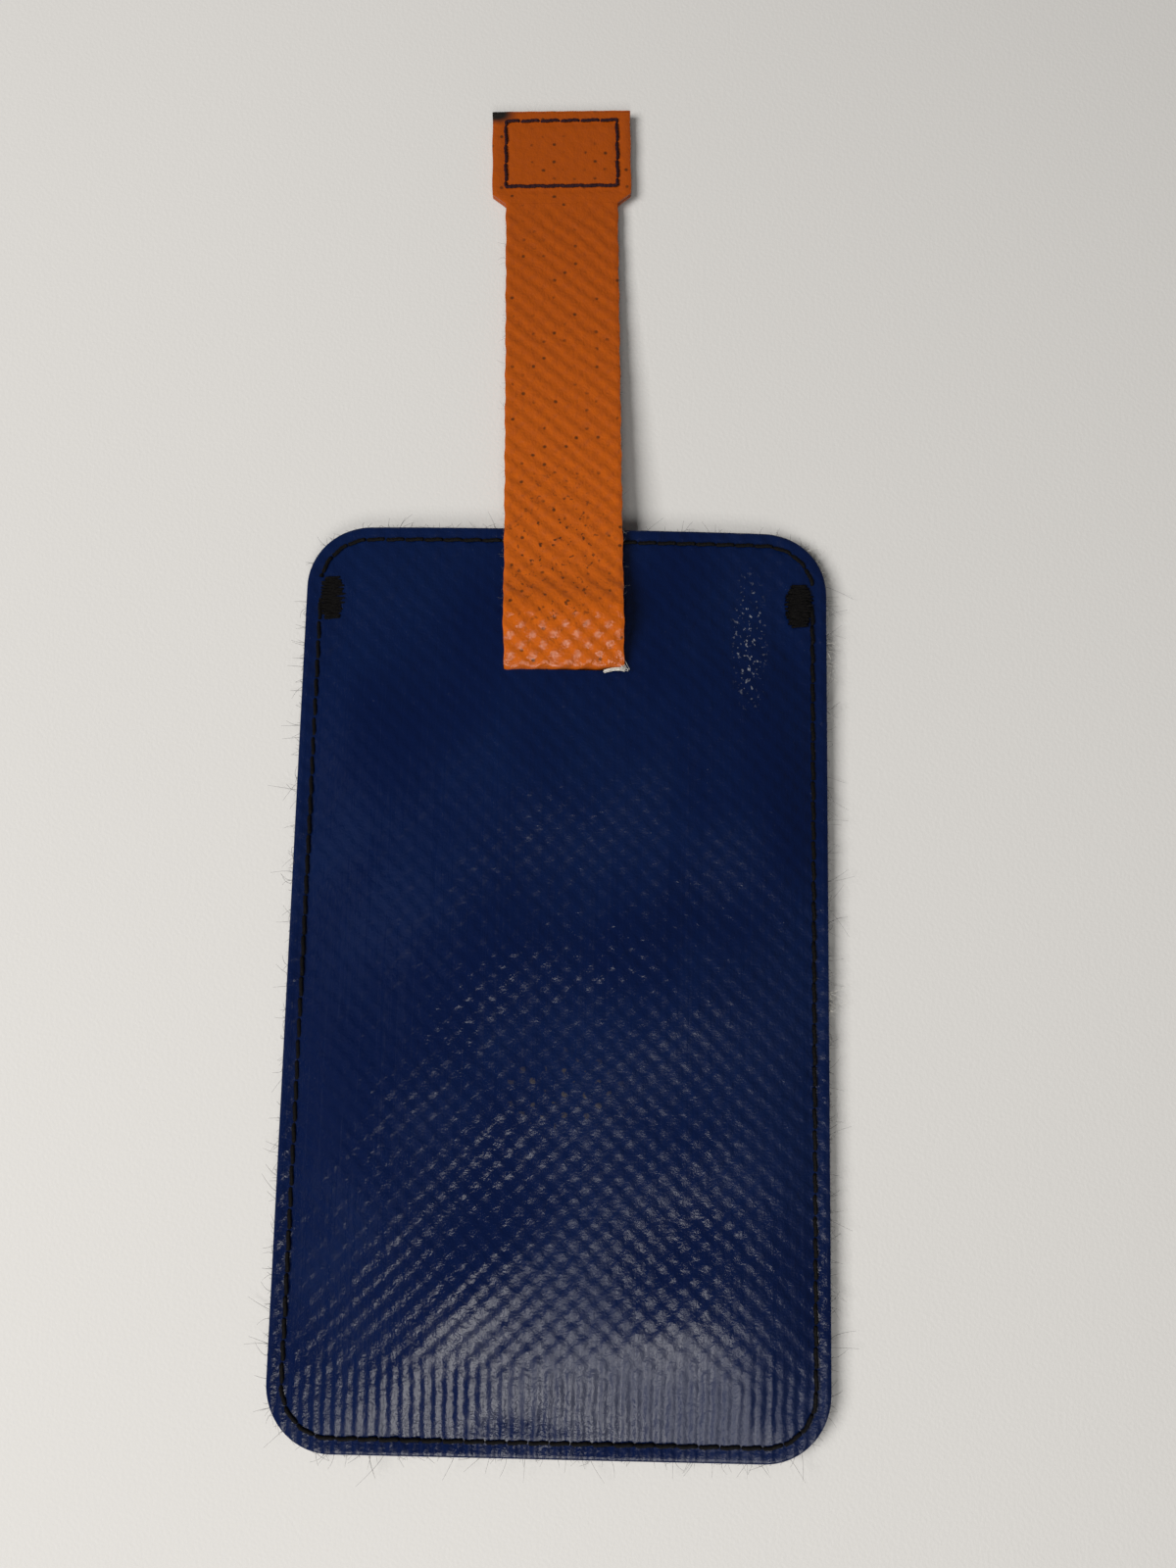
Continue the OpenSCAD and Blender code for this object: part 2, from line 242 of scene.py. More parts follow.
def join(parts):
    """One set of vertices and faces from many."""
    verts, faces, start = [], [], 0
    for v, f in parts:
        verts.append(v)
        faces += [[k + start for k in face] for face in f]
        start += len(v)
    return np.concatenate(verts), faces


def resample(points, step):
    """Points at even steps along a line of points."""
    points = np.asarray(points, float)
    length = np.concatenate([[0], np.cumsum(np.linalg.norm(np.diff(points, axis=0), axis=1))])
    at = np.linspace(0, length[-1], max(2, int(length[-1] / step) + 1))
    return np.stack([np.interp(at, length, points[:, k]) for k in range(points.shape[1])], -1), at


def seam_path(inset, mouth):
    """Line of a seam: straight runs and quarter circles, round the closed end or round the mouth."""
    x, y, r = HALF_W - inset, HALF_L - inset, CORNER_R - inset
    sign = 1 if mouth else -1
    start = TACK_Y + (TACK_L / 2 + 0.1 * MM if mouth else 0)
    first = np.arcsin(clamp01((start - y + r) / r)) if mouth else 0
    turn = np.linspace(first, pi / 2, 12)
    right = np.stack([x - r + r * np.cos(turn), sign * (y - r + r * np.sin(turn))], -1)
    left = right[::-1] * [-1, 1]
    if mouth:
        return np.concatenate([right, left])
    return np.concatenate([[[x, start]], right, left, [[-x, start]]])


def stitched(line, level, pitch, radius, side=1):
    """Row of stitches: a two-ply thread along a line that dives into the cloth once in every stitch."""
    plan, at = resample(line, 0.28 * MM)
    phase = np.abs((at / pitch) % 1 - 0.5) * 2
    dip = smooth(clamp01((phase - 0.78) / 0.22))
    rise = level(plan[:, 0], plan[:, 1]) + side * (0.14 * MM - 0.42 * MM * dip)
    sway = 0.07 * MM * np.sin(2 * pi * at / pitch)
    run = np.gradient(plan, axis=0)
    run /= np.linalg.norm(run, axis=1, keepdims=True)
    plan = plan + np.stack([run[:, 1], -run[:, 0]], -1) * sway[:, None]
    ply = 1 + 0.14 * np.cos(2 * pi * at / (0.8 * MM))
    return tube(np.column_stack([plan, rise]), radius * ply * (1 - 0.25 * dip), 8, 0.8)


def lean(points):
    """Turns points about the slit's middle by the strap's lean."""
    p = np.array(points, float)
    x, y = p[..., 0].copy(), p[..., 1] - SLIT_Y
    p[..., 0] = x * cos(LEAN) - y * sin(LEAN)
    p[..., 1] = SLIT_Y + x * sin(LEAN) + y * cos(LEAN)
    return p


def strap_line():
    """Strap's line in the (y, z) plane, from inside the slit over the front and the mouth to the tab."""
    over = FRONT_TOP + 0.3 * MM + TARP_T / 2
    mouth_z = over + MOUTH_GAP
    drop = TAB_Y - HALF_L
    y = [SLIT_Y - 0.25 * MM, SLIT_Y - 0.2 * MM, SLIT_Y + 0.15 * MM, SLIT_Y + BEND_L,
         SLIT_Y + BEND_L + 6 * MM, HALF_L - 8 * MM, HALF_L,
         HALF_L + 0.17 * drop, HALF_L + 0.4 * drop, HALF_L + 0.7 * drop, TAB_Y - 3 * MM, TAB_Y]
    z = [HINGE_Z - 2.6 * MM, HINGE_Z - 1 * MM, HINGE_Z, HINGE_Z + 0.42 * HUMP, HINGE_Z + HUMP,
         mouth_z + 0.55 * (HINGE_Z - mouth_z) + 0.4 * HUMP, mouth_z + 0.35 * HUMP, mouth_z - 0.05 * MM,
         TAB_Z + 0.66 * (mouth_z - TAB_Z), TAB_Z + 0.22 * (mouth_z - TAB_Z), TAB_Z, TAB_Z]
    points = np.stack([y, z], -1)
    ends = np.concatenate([2 * points[:1] - points[1:2], points, 2 * points[-1:] - points[-2:-1]])
    t = np.linspace(0, 1, 8, endpoint=False)[:, None]
    runs = [0.5 * (2 * b + (c - a) * t + (2 * a - 5 * b + 4 * c - d) * t ** 2
                   + (3 * b - a - 3 * c + d) * t ** 3)
            for a, b, c, d in zip(ends, ends[1:], ends[2:], ends[3:])]
    return np.concatenate(runs + [points[-1:]])


def ribbon(line, half_width, step, relief=0.05 * MM, start=0.0):
    """Closed strip along a line in (y, z), with width across X and woven crowns on top."""
    centre, at = resample(line, step)
    run = np.gradient(centre, axis=0)
    run /= np.linalg.norm(run, axis=1, keepdims=True)
    normal = np.stack([-run[:, 1], run[:, 0]], -1)
    cols = np.linspace(-1, 1, int(STRAP_W / step) + 1)
    wobble = (0.06 * MM * np.sin(2 * pi * (at + start) / (7.3 * MM))
              + 0.04 * MM * np.sin(2 * pi * (at + start) / (2.9 * MM)))
    x = cols[None, :] * (half_width + wobble)[:, None]
    far = half_width - np.abs(x)
    bumps = weave(x, (at + start)[:, None] + 0 * x, *ORANGE_WEAVE, relief) * clamp01(far / (0.6 * MM))
    rounding = 0.12 * MM * (1 - clamp01(far / (0.35 * MM))) ** 2
    sides = []
    for sign, lift in ((1, TARP_T / 2 + bumps - rounding - relief), (-1, TARP_T / 2 - rounding)):
        p = centre[:, None] + sign * normal[:, None] * lift[..., None]
        sides.append(np.stack([x, p[..., 0], p[..., 1]], -1))
    rows, count = x.shape
    keep = np.ones((rows - 1, count - 1), bool)
    faces = sheet_faces(rows, count, keep)
    return lean(np.concatenate([s.reshape(-1, 3) for s in sides])), faces


# ---- Materials -------------------------------------------------------------

class Graph:
    """Short way to add and wire nodes in a material or a node group."""

    def __init__(self, tree):
        self.tree = tree

    def add(self, kind, wires=None, **settings):
        node = self.tree.nodes.new(kind)
        for key, value in settings.items():
            setattr(node, key, value)
        for key, value in (wires or {}).items():
            socket = node.inputs[key]
            if isinstance(value, bpy.types.NodeSocket):
                self.tree.links.new(value, socket)
            else:
                socket.default_value = value
        return node

    def math(self, operation, a, b=0.0, c=0.0, clamp=False):
        return self.add("ShaderNodeMath", {0: a, 1: b, 2: c}, operation=operation, use_clamp=clamp).outputs[0]

    def remap(self, value, low, high, to_low=0.0, to_high=1.0):
        node = self.add("ShaderNodeMapRange", {0: value, 1: low, 2: high, 3: to_low, 4: to_high})
        node.interpolation_type = "SMOOTHSTEP"
        return node.outputs[0]

    def mix(self, share, a, b):
        node = self.add("ShaderNodeMix", data_type="RGBA")
        for socket, value in zip((node.inputs[0], node.inputs[6], node.inputs[7]), (share, a, b)):
            if isinstance(value, bpy.types.NodeSocket):
                self.tree.links.new(value, socket)
            else:
                socket.default_value = value
        return node.outputs[2]

    def noise(self, vector, scale, detail=3.0, rough=0.5):
        return self.add("ShaderNodeTexNoise", {"Vector": vector, "Scale": scale, "Detail": detail,
                                               "Roughness": rough}).outputs["Fac"]


def new_group(name, inputs, outputs):
    """Empty shader node group with named sockets."""
    tree = bpy.data.node_groups.new(name, "ShaderNodeTree")
    for label, kind in inputs:
        tree.interface.new_socket(name=label, in_out="INPUT", socket_type=kind)
    for label, kind in outputs:
        tree.interface.new_socket(name=label, in_out="OUTPUT", socket_type=kind)
    g = Graph(tree)
    return g, g.add("NodeGroupInput"), g.add("NodeGroupOutput")


def coated_weave_group():
    """Crowns and pits of the coated basket weave, with a fine skin of wrinkles."""
    g, given, out = new_group(
        "Coated weave", [("Vector", "NodeSocketVector"), ("Across", "NodeSocketFloat"),
                         ("Along", "NodeSocketFloat"), ("Ribs", "NodeSocketFloat")],
        [("Height", "NodeSocketFloat"), ("Crown", "NodeSocketFloat"), ("Pit", "NodeSocketFloat")])
    warp = g.add("ShaderNodeTexNoise", {"Vector": given.outputs["Vector"], "Scale": 160.0, "Detail": 2.0})
    shift = g.add("ShaderNodeVectorMath", {0: warp.outputs["Color"], 1: (0.5, 0.5, 0.5)},
                  operation="SUBTRACT")
    small = g.add("ShaderNodeVectorMath", {0: shift.outputs[0], "Scale": 0.0011}, operation="SCALE")
    place = g.add("ShaderNodeVectorMath", {0: given.outputs["Vector"], 1: small.outputs[0]}, operation="ADD")
    xyz = g.add("ShaderNodeSeparateXYZ", {0: place.outputs[0]})
    cells = g.math("DIVIDE", xyz.outputs[0], given.outputs["Across"])
    across = g.math("COSINE", g.math("MULTIPLY", cells, pi))
    along = g.math("COSINE", g.math("MULTIPLY", g.math("DIVIDE", xyz.outputs[1], given.outputs["Along"]), pi))
    product = g.math("MULTIPLY", across, along)
    wrinkle = g.noise(given.outputs["Vector"], 2200.0, 3.0, 0.6)
    ribs = g.math("COSINE", g.math("MULTIPLY", cells, 2 * pi))
    ribbed = g.math("MULTIPLY", ribs, given.outputs["Ribs"])
    crowned = g.math("MULTIPLY", product, g.math("SUBTRACT", 1.0, given.outputs["Ribs"]))
    relief = g.math("ADD", ribbed, crowned)
    height = g.math("MULTIPLY_ADD", wrinkle, 0.22, g.math("MULTIPLY_ADD", relief, 0.5, 0.5))
    g.tree.links.new(height, out.inputs["Height"])
    g.tree.links.new(g.remap(product, 0.45, 0.85), out.inputs["Crown"])
    g.tree.links.new(g.remap(product, -0.75, -0.97), out.inputs["Pit"])
    return g.tree


def spots_group():
    """Small irregular specks, gathered in an oval patch about a centre."""
    g, given, out = new_group(
        "Specks in a patch", [("Vector", "NodeSocketVector"), ("Centre", "NodeSocketVector"),
                              ("Size", "NodeSocketVector"), ("Scale", "NodeSocketFloat"),
                              ("Threshold", "NodeSocketFloat")], [("Mask", "NodeSocketFloat")])
    away = g.add("ShaderNodeVectorMath", {0: given.outputs["Vector"], 1: given.outputs["Centre"]},
                 operation="SUBTRACT")
    share = g.add("ShaderNodeVectorMath", {0: away.outputs[0], 1: given.outputs["Size"]}, operation="DIVIDE")
    reach = g.add("ShaderNodeVectorMath", {0: share.outputs[0]}, operation="LENGTH")
    inside = g.remap(reach.outputs["Value"], 1.0, 0.3)
    speck = g.noise(given.outputs["Vector"], given.outputs["Scale"], 4.0, 0.65)
    edge = g.math("SUBTRACT", speck, given.outputs["Threshold"])
    mask = g.math("MULTIPLY", edge, 30.0, clamp=True)
    g.tree.links.new(g.math("MULTIPLY", mask, inside), out.inputs["Mask"])
    return g.tree


WEAVE_GROUP = coated_weave_group()
SPOTS_GROUP = spots_group()


def start_material(name):
    """Material with its nodes on, and its Principled shader."""
    material = bpy.data.materials.new(name)
    material.use_nodes = True
    g = Graph(material.node_tree)
    shader = material.node_tree.nodes["Principled BSDF"]
    where = g.add("ShaderNodeTexCoord").outputs["Object"]
    return material, g, shader, where


def wire(g, shader, **sockets):
    """Sets or links the shader's named sockets."""
    for key, value in sockets.items():
        socket = shader.inputs[key.replace("_", " ")]
        if isinstance(value, bpy.types.NodeSocket):
            g.tree.links.new(value, socket)
        else:
            socket.default_value = value


def bump(g, height, distance, strength=1.0):
    return g.add("ShaderNodeBump", {"Height": height, "Distance": distance, "Strength": strength}).outputs[0]


def specks(g, where, centre, size, scale, threshold):
    node = g.add("ShaderNodeGroup", node_tree=SPOTS_GROUP)
    g.tree.links.new(where, node.inputs["Vector"])
    for key, value in (("Centre", centre), ("Size", size), ("Scale", scale), ("Threshold", threshold)):
        node.inputs[key].default_value = value
    return node.outputs["Mask"]


def woven(g, where, across, along):
    node = g.add("ShaderNodeGroup", node_tree=WEAVE_GROUP)
    g.tree.links.new(where, node.inputs["Vector"])
    node.inputs["Across"].default_value = across
    node.inputs["Along"].default_value = along
    return node


def navy_tarp():
    """Lacquered navy tarpaulin: woven relief, streaks, worn crowns and pale scuffs."""
    material, g, shader, where = start_material("navy_tarpaulin")
    cloth = woven(g, where, *BLUE_WEAVE)
    place = g.add("ShaderNodeSeparateXYZ", {0: where})
    g.tree.links.new(g.remap(place.outputs[1], RIB_Y, RIB_Y - 8 * MM, 0.1, 0.8), cloth.inputs["Ribs"])
    patches = g.noise(where, 40.0, 3.0)
    base = g.mix(g.remap(patches, 0.35, 0.7), (0.0007, 0.0050, 0.033, 1), (0.0012, 0.0074, 0.041, 1))
    worn = specks(g, where, (0.001, -0.0176, 0.005), (0.012, 0.008, 0.02), 520.0, 0.5)
    rings = g.math("MULTIPLY", cloth.outputs["Crown"], worn)
    base = g.mix(g.math("MULTIPLY", rings, 0.55), base, (0.06, 0.05, 0.035, 1))
    scuff = specks(g, where, (0.0295, 0.053, 0.004), (0.0035, 0.014, 0.02), 1500.0, 0.6)
    base = g.mix(g.math("MULTIPLY", scuff, 0.8), base, (0.22, 0.23, 0.25, 1))
    lint = specks(g, where, (0.02, 0.01, 0.004), (0.045, 0.09, 0.05), 2600.0, 0.735)
    base = g.mix(g.math("MULTIPLY", lint, 0.6), base, (0.3, 0.31, 0.33, 1))
    stretched = g.add("ShaderNodeMapping", {"Vector": where, "Scale": (2400.0, 22.0, 100.0)}).outputs[0]
    streaks = g.noise(stretched, 1.0, 2.0)
    uneven = g.math("ADD", g.math("MULTIPLY", patches, 0.6), g.math("MULTIPLY", streaks, 0.4))
    rough = g.remap(uneven, 0.35, 0.65, 0.16, 0.42)
    lumps = g.noise(where, 420.0, 4.0, 0.65)
    height = g.math("MULTIPLY_ADD", streaks, 0.12, cloth.outputs["Height"])
    height = g.math("MULTIPLY_ADD", lumps, 2.4, height)
    wire(g, shader, Base_Color=base, Roughness=rough, Normal=bump(g, height, 0.00013), Coat_Weight=0.15,
         Coat_Roughness=0.15, IOR=1.4)
    return material


def orange_tarp():
    """Worn orange tarpaulin: dull woven relief, pits darkened in patches, darker towards the tab."""
    material, g, shader, where = start_material("orange_tarpaulin")
    turned = g.add("ShaderNodeMapping", {"Vector": where, "Rotation": (0, 0, -LEAN)}).outputs[0]
    cloth = woven(g, turned, *ORANGE_WEAVE)
    place = g.add("ShaderNodeSeparateXYZ", {0: where})
    fade = g.remap(place.outputs[1], SLIT_Y, TAB_TOP_Y)
    grain = g.noise(where, 900.0, 4.0, 0.6)
    bare_orange = g.mix(fade, (0.44, 0.088, 0.004, 1), (0.30, 0.054, 0.002, 1))
    bare_orange = g.mix(g.remap(grain, 0.35, 0.75, 0.0, 0.35), bare_orange, (0.27, 0.05, 0.006, 1))
    # Darkens the weave's pits in noise-gated patches, mixed towards near-black.
    pit_darkening = g.math("MULTIPLY", cloth.outputs["Pit"], g.remap(g.noise(where, 330.0, 2.0), 0.5, 0.64))
    base = g.mix(g.math("MULTIPLY", pit_darkening, 0.8), bare_orange, (0.035, 0.014, 0.004, 1))
    dots = specks(g, where, (-0.0015, 0.066, 0.005), (0.012, 0.020, 0.03), 1100.0, 0.6)
    base = g.mix(g.math("MULTIPLY", dots, 0.85), base, (0.03, 0.014, 0.006, 1))
    smudge = specks(g, where, (-0.0138, TAB_TOP_Y - 0.0008, 0.001), (0.004, 0.0022, 0.01), 400.0, 0.3)
    base = g.mix(smudge, base, (0.012, 0.010, 0.008, 1))
    flatter = g.remap(place.outputs[1], TAB_Y - 4 * MM, TAB_Y + 1 * MM, 1.0, 0.15)
    relief = g.math("MULTIPLY_ADD", g.noise(where, 700.0, 4.0, 0.65), 0.9,
                    g.math("MULTIPLY", cloth.outputs["Height"], flatter))
    dull = g.remap(grain, 0.3, 0.7, 0.4, 0.55)
    shine = g.remap(place.outputs[1], SLIT_Y + 14 * MM, SLIT_Y + 8 * MM, 0.0, 0.3)
    wire(g, shader, Base_Color=base, Roughness=g.math("SUBTRACT", dull, shine),
         Normal=bump(g, relief, 0.00026), Specular_IOR_Level=0.5)
    return material


def fibre_material(name, colour, pale, scale, rough):
    """Thread, felt or yarn: two tones of fine noise, with a matching fine relief."""
    material, g, shader, where = start_material(name)
    fine = g.noise(where, scale, 4.0, 0.7)
    wire(g, shader, Base_Color=g.mix(g.remap(fine, 0.35, 0.7), colour, pale), Roughness=rough,
         Normal=bump(g, fine, 0.00008), Specular_IOR_Level=0.15)
    return material


NAVY = navy_tarp()
ORANGE = orange_tarp()
BLACK_THREAD = fibre_material("black_thread", (0.0015, 0.0015, 0.002, 1), (0.009, 0.008, 0.007, 1),
                              6000.0, 0.55)
TAB_THREAD = fibre_material("tab_thread", (0.008, 0.004, 0.006, 1), (0.045, 0.015, 0.02, 1), 6000.0, 0.55)
FELT = fibre_material("charcoal_felt", (0.03, 0.03, 0.033, 1), (0.09, 0.09, 0.095, 1), 2500.0, 0.9)
PALE_YARN = fibre_material("pale_yarn", (0.45, 0.43, 0.38, 1), (0.75, 0.73, 0.68, 1), 4000.0, 0.8)
GREY_FUZZ = fibre_material("grey_fuzz", (0.05, 0.05, 0.055, 1), (0.3, 0.29, 0.28, 1), 3000.0, 0.85)


# ---- Pieces ----------------------------------------------------------------

def seam_dent(x, y):
    """Dent along the stitching: a narrow trough near the edge, pulled deeper at each stitch."""
    d = edge_distance(x, y)
    along = np.where(np.abs(x) > HALF_W - CORNER_R, y, x)
    pull = 0.7 + 0.3 * np.cos(2 * pi * along / STITCH)
    return 0.16 * MM * pull * np.exp(-((d - 2.2 * MM) / (0.55 * MM)) ** 2)


def creases(x, y):
    """Soft creases: a few waves of chance direction and phase, 14 to 40 mm long, added up."""
    waves = np.random.default_rng(21)
    total = np.zeros_like(x)
    for length in np.linspace(14, 40, 9) * MM:
        turn, phase = waves.uniform(0, pi), waves.uniform(0, 2 * pi)
        total += 0.0035 * length * np.sin(2 * pi * (x * cos(turn) + y * sin(turn)) / length + phase)
    return total


def two_faces(x, y, top, low):
    """Points of a sheet: those of its upper face, then those of its lower."""
    return np.concatenate([np.stack([x, y, z + 0 * x], -1).reshape(-1, 3) for z in (top, low)])


def build_front():
    """Front skin: the swell, woven crowns, the seam's dent, a rolled edge and soft creases."""
    x, y, keep = plan_grid(0.56 * MM, True)
    d = edge_distance(x, y)
    fade = clamp01(d / (1.5 * MM))
    crease = creases(x, y) * clamp01(d / (8 * MM))
    top = FRONT_TOP + swell(x, y) + (weave(x, y, *BLUE_WEAVE, CROWN_H) - CROWN_H) * fade
    top += crease - seam_dent(x, y) - 0.16 * MM * (1 - clamp01(d / (0.45 * MM))) ** 2
    low = FRONT_Z + swell(x, y) + crease
    verts = two_faces(x, y, top, low)
    obj = make_object("front_skin", verts, sheet_faces(*x.shape, keep), NAVY)
    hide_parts("front_panel")
    return [obj]


def build_back():
    """Back skin: flat, with woven crowns on its underside, turned over from the same grid."""
    x, y, keep = plan_grid(0.6 * MM, False)
    d = edge_distance(x, y)
    relief = (CROWN_H - weave(x, y, *BLUE_WEAVE, CROWN_H)) * clamp01(d / (1.5 * MM))
    low = relief + seam_dent(x, y) + 0.16 * MM * (1 - clamp01(d / (0.45 * MM))) ** 2
    top = np.full_like(x, TARP_T)
    verts = two_faces(x, y, top, low)
    obj = make_object("back_skin", verts, sheet_faces(*x.shape, keep), NAVY)
    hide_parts("back_panel")
    return [obj]


def build_linings():
    """Two felted linings: flat against the back, and following the swell under the front."""
    pieces = []
    for name, node, slit in (("lining_back", "back_lining", False), ("lining_front", "front_lining", True)):
        low_z = float(node_box(node)[0][2])
        x, y, keep = plan_grid(1.3 * MM, slit)
        rise = swell(x, y) if slit else 0 * x
        fluff = 0.015 * MM * (rng.random(x.shape) - 1)
        verts = two_faces(x, y, low_z + (0.5 * MM + fluff) + rise, low_z + rise)
        obj = make_object(name, verts, sheet_faces(*x.shape, keep), FELT)
        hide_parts(node)
        pieces.append(obj)
    return pieces


def build_seams():
    """Stitching round the closed end and round the mouth, on the front and on the back."""
    def front(x, y):
        return FRONT_TOP + swell(x, y) - 0.1 * MM

    def back(x, y):
        return 0.32 * MM + 0 * x

    rows = (("side_stitches_front", "side_seam_needle_thread", SEAM_INSET, False, front, 1),
            ("side_stitches_back", "side_seam_bobbin_thread", SEAM_INSET, False, back, -1),
            ("mouth_stitches_front", "front_mouth_thread", MOUTH_INSET, True, front, 1),
            ("mouth_stitches_back", "back_mouth_thread", MOUTH_INSET, True, back, -1))
    pieces = []
    for name, node, inset, mouth, level, side in rows:
        verts, faces = stitched(seam_path(inset, mouth), level, STITCH, 0.31 * MM, side)
        obj = make_object(name, verts, faces, BLACK_THREAD)
        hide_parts(node)
        pieces.append(obj)
    return pieces


def zigzag(z, side):
    """Bar tack's thread: dense legs from side to side over a few lengthwise runs, a little uneven."""
    parts = []
    for layer in range(3):
        y = TACK_Y + np.linspace(-0.5, 0.5, TACK_LEGS) * TACK_L + rng.normal(0, 0.1 * MM, TACK_LEGS)
        taper = 1 - 0.4 * np.abs(np.linspace(-1, 1, TACK_LEGS)) ** 3
        swing = taper * np.where(np.arange(TACK_LEGS) % 2, 0.5, -0.5) * TACK_W
        sway = swing * (1.06 - 0.3 * rng.random(TACK_LEGS))
        x = side * TACK_X + sway + rng.normal(0, 0.12 * MM)
        path, at = resample(np.stack([x, y], -1), 0.35 * MM)
        arch = z + (0.05 + 0.11 * layer) * MM + 0.06 * MM * np.sin(2 * pi * at / (1.9 * MM))
        parts.append(tube(np.column_stack([path, arch]), 0.19 * MM, 6, 0.85))
    return parts


def build_tacks():
    """Bar tacks on both sides of the mouth, front and back."""
    pieces = []
    for name, side in (("tack_left", -1), ("tack_right", 1)):
        verts, faces = join(zigzag(FRONT_TOP, side) + zigzag(0.2 * MM, side)[:1])
        obj = make_object(name, verts, faces, BLACK_THREAD)
        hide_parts("left_bar_tack" if side < 0 else "right_bar_tack")
        pieces.append(obj)
    return pieces


def split_line(line, y):
    """The strap's line in two parts that share the point where it passes a place along the sleeve."""
    fine, _ = resample(line, 0.1 * MM)
    k = int(np.searchsorted(fine[:, 0], y))
    return fine[:k + 1], fine[k:]


SPLIT_Y = SLIT_Y + 6 * MM


def build_strap():
    """Strap: a throat out of the slit, the long run over the mouth, and the loop inside."""
    throat_line, run_line = split_line(strap_line(), SPLIT_Y)
    throat_l = resample(throat_line, STRAP_STEP)[1][-1]
    verts, faces = ribbon(throat_line, STRAP_W / 2, STRAP_STEP)
    throat = make_object("strap_throat", verts, faces, ORANGE)
    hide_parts("strap_bend")
    verts, faces = ribbon(run_line, STRAP_W / 2, STRAP_STEP, start=throat_l)
    run = make_object("strap_run", verts, faces, ORANGE)
    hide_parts("pull_strap")
    back_z = ANCHOR_Z + TARP_T / 2
    loop_y = SLIT_Y - 67 * MM
    front_z = 1.3 * MM + float(swell(0.0, loop_y)) - 0.1 * MM - TARP_T / 2
    r = (front_z - back_z) / 2
    turn = np.linspace(-pi / 2, pi / 2, 14)
    up_y = np.linspace(loop_y, SLIT_Y - 2 * MM, 40)
    up_z = 1.3 * MM + swell(0.0, up_y) - 0.1 * MM - TARP_T / 2
    inner = np.concatenate([[[ANCHOR_Y + STRAP_W / 2, back_z]],
                            np.stack([loop_y - r * np.cos(turn), back_z + r + r * np.sin(turn)], -1),
                            np.stack([up_y, up_z], -1)[1:]])
    verts, faces = ribbon(inner, STRAP_W / 2, 0.9 * MM, 0.0)
    loop = make_object("strap_inner", verts, faces, ORANGE)
    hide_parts("strap_loop")
    return throat, run, loop


def tab_outline_half(y):
    """Half width of the tab along Y: the strap's width at the step, then out along a small chamfer."""
    return np.minimum(TAB_W / 2, STRAP_W / 2 + (y - TAB_Y) * (TAB_W - STRAP_W) / 2 / (1.8 * MM))


def tab_layer(z_top, z_low, grow, relief, sign):
    """One layer of the tab: a grid as wide as its outline, woven on one side, rolled at its edge."""
    y = np.concatenate([np.linspace(TAB_Y - grow, TAB_Y + 1.8 * MM, 6)[:-1],
                        np.linspace(TAB_Y + 1.8 * MM, TAB_TOP_Y, 40)])
    cols = np.linspace(-1, 1, 56)
    x = cols[None, :] * (tab_outline_half(np.maximum(y, TAB_Y)) + 0.05 * MM * np.sin(y / (1.1 * MM)))[:, None]
    yy = np.repeat(y[:, None], len(cols), 1)
    dx = np.maximum(x.max(1)[:, None] - np.abs(x), 0)
    roll = 0.1 * MM * (1 - clamp01(dx / (0.35 * MM))) ** 2
    box = np.maximum(np.abs(x) / (TAB_W / 2 - 2.3 * MM),
                     np.abs(yy - (TAB_Y + TAB_TOP_Y) / 2) / (TAB_L / 2 - 2.3 * MM))
    dent = 0.12 * MM * np.exp(-((box - 1) / 0.07) ** 2)
    bumps = weave(x, yy, *ORANGE_WEAVE, relief) - relief
    top = z_top - roll + (bumps - dent if sign > 0 else 0)
    low = z_low + roll + (dent if sign < 0 else 0)
    keep = np.ones((x.shape[0] - 1, x.shape[1] - 1), bool)
    return lean(two_faces(x, yy, top, low)), sheet_faces(*x.shape, keep)


